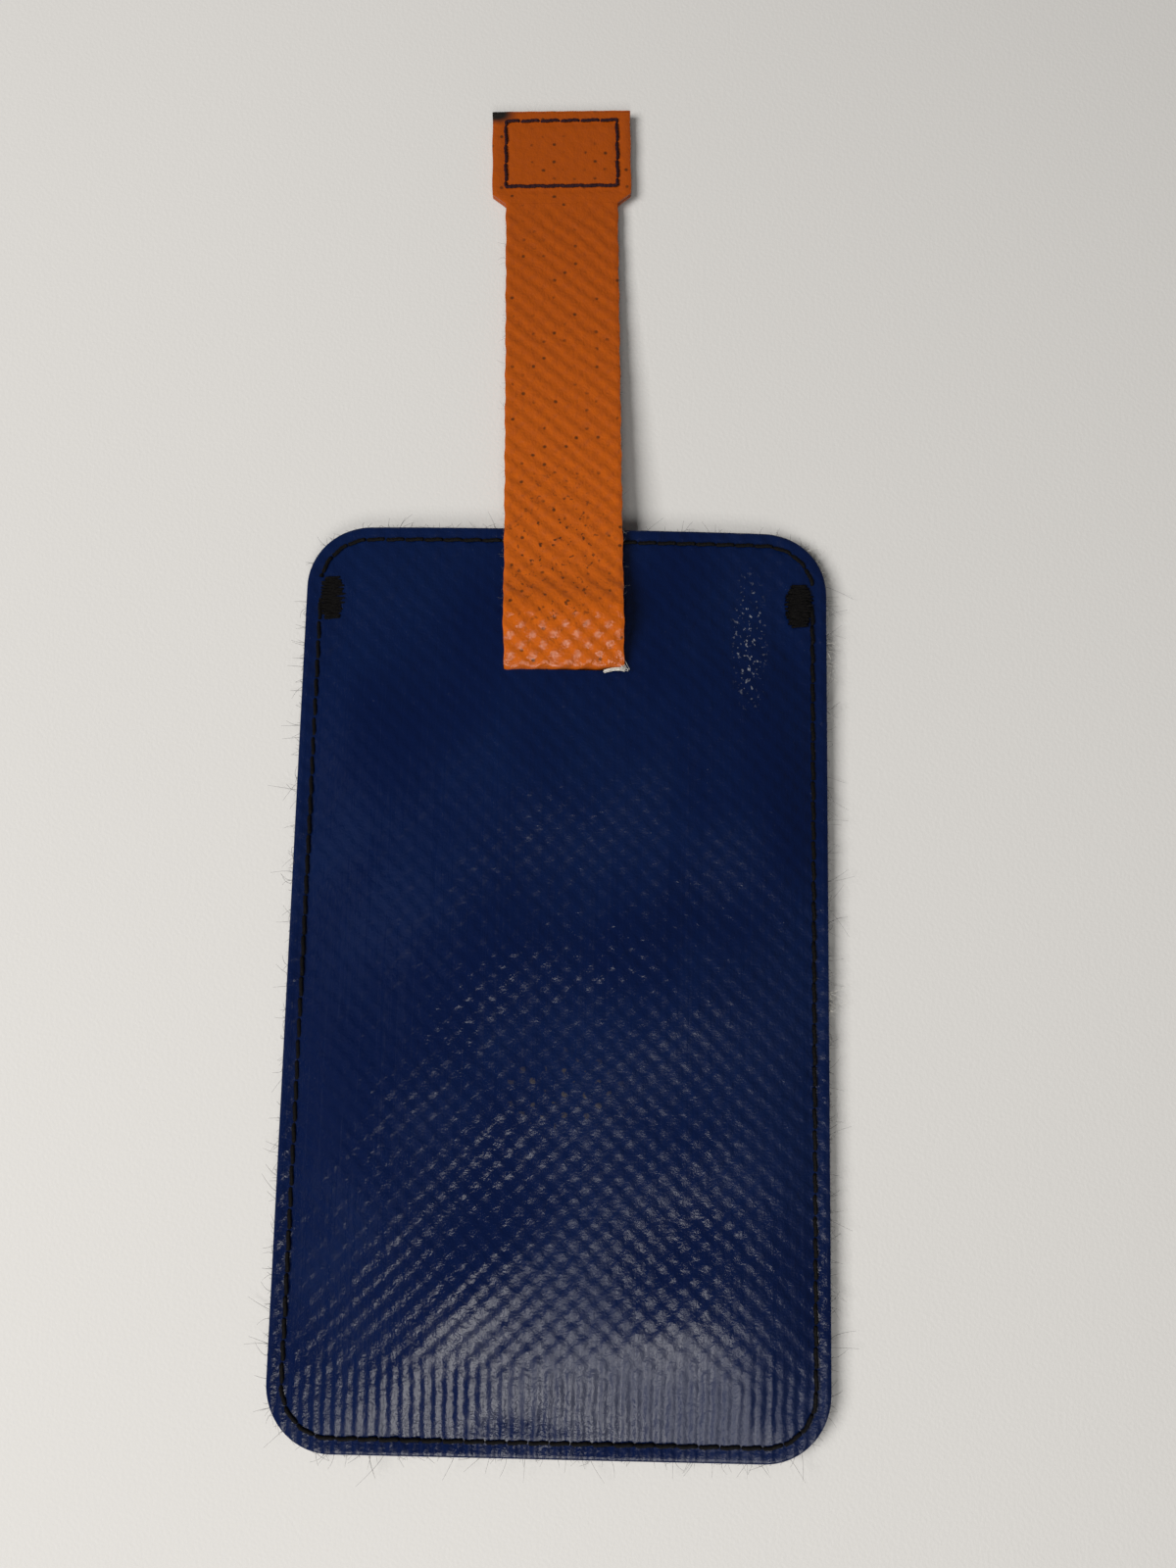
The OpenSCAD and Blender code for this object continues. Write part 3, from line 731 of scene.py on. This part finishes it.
def build_tab():
    """Stop tab: its upper and folded-under layers, the fold that joins them, and its stitched rectangle."""
    upper = tab_layer(TAB_Z + TARP_T / 2, TAB_Z - TARP_T / 2, 0.0, 0.03 * MM, 1)
    under = tab_layer(TAB_Z - TARP_T / 2 - 0.05 * MM, FLAP_Z, 0.5 * MM, 0.0, -1)
    turn = np.linspace(-pi / 2, pi / 2, 12)
    r = (TAB_Z + TARP_T / 2 - FLAP_Z) / 2
    arc = np.stack([TAB_TOP_Y - 0.35 * MM + 0.35 * MM * np.cos(turn), FLAP_Z + r + r * np.sin(turn)], -1)
    cols = np.linspace(-TAB_W / 2, TAB_W / 2, FOLD_COLS)
    fold_v = np.column_stack([np.tile(cols, len(arc)), np.repeat(arc, FOLD_COLS, axis=0)])
    i, j = np.meshgrid(np.arange(len(arc) - 1), np.arange(FOLD_COLS - 1), indexing="ij")
    a = (i * FOLD_COLS + j).ravel()
    fold = lean(fold_v), np.stack([a + 1, a, a + FOLD_COLS, a + FOLD_COLS + 1], -1).tolist()
    verts, faces = join([(upper[0], upper[1].tolist()), (under[0], under[1].tolist()), fold])
    tab = make_object("tab_cloth", verts, faces, ORANGE)
    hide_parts("stop_tab")
    pieces = [tab]
    x = TAB_W / 2 - 2.3 * MM
    low, high = TAB_Y + 3.1 * MM, TAB_TOP_Y - 1.8 * MM
    corners = np.array([[-x, low], [x, low], [x, high], [-x, high], [-x, low], [x * 0.9, low]])

    def upper_level(x, y):
        return TAB_Z + TARP_T / 2 - 0.05 * MM + 0 * x

    def under_level(x, y):
        return FLAP_Z - 0.03 * MM + 0 * x

    levels = (("tab_stitches_top", "tab_needle_thread", upper_level, 1),
              ("tab_stitches_under", "tab_bobbin_thread", under_level, -1))
    for name, node, level, side in levels:
        verts, faces = stitched(corners, level, TAB_STITCH, 0.26 * MM, side)
        obj = make_object(name, lean(verts), faces, TAB_THREAD)
        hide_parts(node)
        pieces.append(obj)
    square = np.array([[-7, -7], [7, -7], [7, 7], [-7, 7], [-7, -7]]) * MM + [0, ANCHOR_Y]
    anchor_z = ANCHOR_Z + TARP_T
    verts, faces = stitched(square, lambda x, y: anchor_z + 0 * x, TAB_STITCH, 0.24 * MM)
    anchor = make_object("anchor_stitches", verts, faces, TAB_THREAD)
    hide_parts("anchor_thread")
    return pieces, anchor


def hairs(roots, outward, count, length, radius, curl):
    """Loose fibres: short bent tubes that start at the roots, lean outwards and curl at random."""
    parts = []
    for _ in range(count):
        pick = rng.integers(len(roots))
        reach = length * (0.3 + rng.random() ** 2)
        t = np.linspace(0, 1, 6)[:, None]
        away = outward[pick] + rng.normal(0, 0.5, 3) * [1, 1, 0.25]
        bend = rng.normal(0, curl, 3) * [1, 1, 0.3]
        path = roots[pick] + reach * (away * t + bend * t ** 2)
        path[:, 2] = np.maximum(path[:, 2], radius * 1.5)
        parts.append(tube(path, radius * (1 - 0.6 * t[:, 0]), 3))
    return join(parts)


def outline_roots(step):
    """Points and outward directions round the sleeve's edge."""
    full = np.concatenate([seam_path(0.0, False)[::-1], seam_path(0.0, True)])
    plan, _ = resample(full, step)
    run = np.gradient(plan, axis=0)
    run /= np.linalg.norm(run, axis=1, keepdims=True) + 1e-12
    out = np.stack([run[:, 1], -run[:, 0], 0 * run[:, 0]], -1)
    out *= np.sign(np.sum(out[:, :2] * plan, 1, keepdims=True) + 1e-12)
    z = 0.4 * MM + (FRONT_TOP - 0.6 * MM) * rng.random(len(plan))
    return np.column_stack([plan, z]), out


def build_fibres():
    """Fuzz round the cut edges, hairs on the strap's edges, and the frayed yarn at the slit."""
    roots, out = outline_roots(0.4 * MM)
    verts, faces = hairs(roots, out, 1000, 1.2 * MM, 0.04 * MM, 0.9)
    fuzz = make_object("edge_fuzz", verts, faces, GREY_FUZZ)
    right = (np.abs(roots[:, 0] - HALF_W) < 2 * MM) & (roots[:, 1] < HALF_L - 4 * MM)
    tuft = right & ((np.abs(roots[:, 1] - 0.051) < 3 * MM) | (np.abs(roots[:, 1] + 0.004) < 2 * MM))
    tuft |= np.hypot(roots[:, 0] - HALF_W + 2 * MM, roots[:, 1] - HALF_L + 5 * MM) < 3 * MM
    verts, faces = hairs(roots[tuft], out[tuft], 160, 1.1 * MM, 0.04 * MM, 0.9)
    tufts = make_object("pale_tufts", verts, faces, PALE_YARN)
    t = np.linspace(0, 1, 22)
    parts = []
    corner = np.array([STRAP_W / 2 - 3.2 * MM, SLIT_Y - 0.6 * MM, HINGE_Z - 0.1 * MM])
    for _ in range(9):
        wide = (2.2 + 0.25 * rng.normal()) * MM
        x = corner[0] + wide * 1.5 * np.sin(2.3 * t) + 0.12 * MM * rng.normal()
        y = corner[1] + wide * (0.85 * t - 1.25 * t ** 2 * np.sin(pi * t)) - 0.5 * MM * rng.random()
        z = corner[2] + 0.35 * MM * np.sin(pi * t) + 0.1 * MM * rng.random()
        parts.append(tube(np.stack([x, y, z], -1), 0.055 * MM * (1 - 0.5 * t), 5))
    verts, faces = join(parts)
    fray = make_object("frayed_yarn", verts, faces, PALE_YARN)
    y = np.linspace(SLIT_Y + 9 * MM, TAB_Y - 3 * MM, 180)
    line = strap_line()
    z = np.interp(y, line[:, 0], line[:, 1])
    roots = lean(np.concatenate([np.stack([s * STRAP_W / 2 + 0 * y, y, z], -1) for s in (-1, 1)]))
    out = np.concatenate([np.tile([s, 0.0, 0.0], (len(y), 1)) for s in (-1, 1)])
    verts, faces = hairs(roots, out, 170, 0.7 * MM, 0.02 * MM, 0.5)
    strap_hairs = make_object("strap_hairs", verts, faces, GREY_FUZZ)
    return fuzz, tufts, fray, strap_hairs


# ---- Operators -------------------------------------------------------------

class SLEEVE_studio(bpy.types.PropertyGroup):
    """Sizes and strengths of the studio."""
    lens: bpy.props.FloatProperty(name="Lens", description="Camera lens in millimetres", default=27.02)
    key_power: bpy.props.FloatProperty(name="Window power", default=2.0,
                                       description="Power of the low window light")
    fill_power: bpy.props.FloatProperty(name="Side power", default=20.5,
                                        description="Power of the light from the left")
    world_level: bpy.props.FloatProperty(name="Room level", default=0.08,
                                         description="Strength of the room's light")
    floor_colour: bpy.props.FloatVectorProperty(name="Floor colour", description="Colour of the floor",
                                                default=(0.62, 0.61, 0.59), size=3, subtype="COLOR")


class SleeveOperator:
    """Shared settings of the sleeve's operators."""
    bl_options = {"REGISTER", "UNDO"}


class SLEEVE_OT_panels(SleeveOperator, bpy.types.Operator):
    """Builds the two tarpaulin panels and the two linings"""
    bl_idname = "sleeve.panels"
    bl_label = "Panels and linings"

    def execute(self, context):
        for piece in build_front() + build_back() + build_linings():
            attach(piece, "sleeve")
        return {"FINISHED"}


class SLEEVE_OT_stitching(SleeveOperator, bpy.types.Operator):
    """Builds the seams and the bar tacks"""
    bl_idname = "sleeve.stitching"
    bl_label = "Seams and bar tacks"

    def execute(self, context):
        for piece in build_seams() + build_tacks():
            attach(piece, "sleeve")
        return {"FINISHED"}


class SLEEVE_OT_strap(SleeveOperator, bpy.types.Operator):
    """Builds the strap, from its loop inside to the step of the tab"""
    bl_idname = "sleeve.strap"
    bl_label = "Pull strap"

    def execute(self, context):
        throat, run, loop = build_strap()
        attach(loop, "sleeve")
        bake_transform(throat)
        tuple(lean([0, SPLIT_Y, TAB_Z]))
        tuple(lean([0, TAB_Y, TAB_Z]))
        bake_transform(run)
        return {"FINISHED"}


class SLEEVE_OT_tab(SleeveOperator, bpy.types.Operator):
    """Builds the stop tab, its stitched rectangle and the strap's anchor stitching"""
    bl_idname = "sleeve.tab"
    bl_label = "Stop tab"

    def execute(self, context):
        pieces, anchor = build_tab()
        for piece in pieces:
            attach(piece, "tab")
        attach(anchor, "sleeve")
        return {"FINISHED"}


class SLEEVE_OT_fibres(SleeveOperator, bpy.types.Operator):
    """Builds the loose fibres on the cut edges and the frayed yarn"""
    bl_idname = "sleeve.fibres"
    bl_label = "Loose fibres"

    def execute(self, context):
        fuzz, tufts, fray, strap_hairs = build_fibres()
        for piece in (fuzz, tufts, fray):
            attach(piece, "sleeve")
        tuple(lean([0, SPLIT_Y, TAB_Z]))
        tuple(lean([0, TAB_Y, TAB_Z]))
        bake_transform(strap_hairs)
        return {"FINISHED"}


def area_light(name, place, target, size, power, colour, mirrored=True):
    """Rectangular light aimed at a point, seen in reflections or not."""
    data = bpy.data.lights.new(name, "AREA")
    data.shape = "RECTANGLE"
    data.size, data.size_y = size
    data.energy = power
    data.color = colour
    light = bpy.data.objects.new(name, data)
    light.location = place
    light.rotation_euler = (Vector(target) - Vector(place)).to_track_quat("-Z", "Y").to_euler()
    light.visible_glossy = mirrored
    bpy.context.scene.collection.objects.link(light)


class SLEEVE_OT_studio(SleeveOperator, bpy.types.Operator):
    """Builds the floor, the lights and the camera"""
    bl_idname = "sleeve.studio"
    bl_label = "Studio"

    def execute(self, context):
        values = context.scene.sleeve_studio
        scene = context.scene
        floor_mat, g, shader, where = start_material("pale_table")
        cloud = g.noise(where, 3.0, 2.0)
        pale = tuple(values.floor_colour) + (1,)
        deeper = tuple(0.94 * c for c in pale[:3]) + (1,)
        wire(g, shader, Base_Color=g.mix(g.remap(cloud, 0.2, 0.8), pale, deeper), Roughness=0.6,
             Normal=bump(g, g.noise(where, 1800.0, 3.0), 0.00004))
        mesh = bpy.data.meshes.new("table_top")
        s = 1.5
        mesh.from_pydata([(x, y, -0.0001) for x, y in ((-s, -s), (s, -s), (s, s), (-s, s))], [],
                         [(0, 1, 2, 3)])
        mesh.materials.append(floor_mat)
        floor = bpy.data.objects.new("table_top", mesh)
        scene.collection.objects.link(floor)
        world = bpy.data.worlds.new("room")
        world.use_nodes = True
        sky = Graph(world.node_tree)
        background = world.node_tree.nodes["Background"]
        background.inputs[0].default_value = (0.95, 0.98, 1.0, 1)
        seen = sky.add("ShaderNodeLightPath").outputs["Is Camera Ray"]
        world.node_tree.links.new(sky.math("MAXIMUM", seen, values.world_level), background.inputs[1])
        scene.world = world
        area_light("window_low", (0.02, -0.51, 0.53), (0, -0.03, 0), (0.34, 0.3),
                   values.key_power, (1, 0.98, 0.95))
        area_light("window_left", (-0.85, -0.1, 0.95), (0, 0.03, 0), (0.7, 0.7),
                   values.fill_power, (1, 0.98, 0.96), mirrored=False)
        data = bpy.data.cameras.new("camera")
        data.lens = values.lens
        data.sensor_width = 36
        data.clip_start = 0.01
        camera = bpy.data.objects.new("camera", data)
        camera.location = (0.0056, 0.0055, 0.1872)
        camera.rotation_euler = (radians(7.41), radians(0.31), radians(1.12))
        scene.collection.objects.link(camera)
        scene.camera = camera
        scene.view_settings.view_transform = "Standard"
        return {"FINISHED"}


class SLEEVE_PT_panel(bpy.types.Panel):
    """Lists the sleeve's builders"""
    bl_idname = "SLEEVE_PT_panel"
    bl_label = "Pull-strap sleeve"
    bl_space_type = "VIEW_3D"
    bl_region_type = "UI"
    bl_category = "Sleeve"

    def draw(self, context):
        for operator in OPERATORS:
            self.layout.operator(operator.bl_idname)


OPERATORS = (SLEEVE_OT_studio, SLEEVE_OT_panels, SLEEVE_OT_stitching, SLEEVE_OT_strap, SLEEVE_OT_tab,
             SLEEVE_OT_fibres)


def register():
    """Registers the classes and the scene's settings."""
    for cls in (SLEEVE_studio,) + OPERATORS + (SLEEVE_PT_panel,):
        bpy.utils.register_class(cls)
    bpy.types.Scene.sleeve_studio = bpy.props.PointerProperty(type=SLEEVE_studio)


def unregister():
    """Takes back what register does."""
    del bpy.types.Scene.sleeve_studio
    for cls in reversed((SLEEVE_studio,) + OPERATORS + (SLEEVE_PT_panel,)):
        bpy.utils.unregister_class(cls)


def main():
    """Builds everything in order."""
    register()
    bpy.ops.sleeve.studio()
    bpy.ops.sleeve.panels()
    bpy.ops.sleeve.stitching()
    bpy.ops.sleeve.strap()
    bpy.ops.sleeve.tab()
    bpy.ops.sleeve.fibres()


if __name__ == "__main__":
    main()
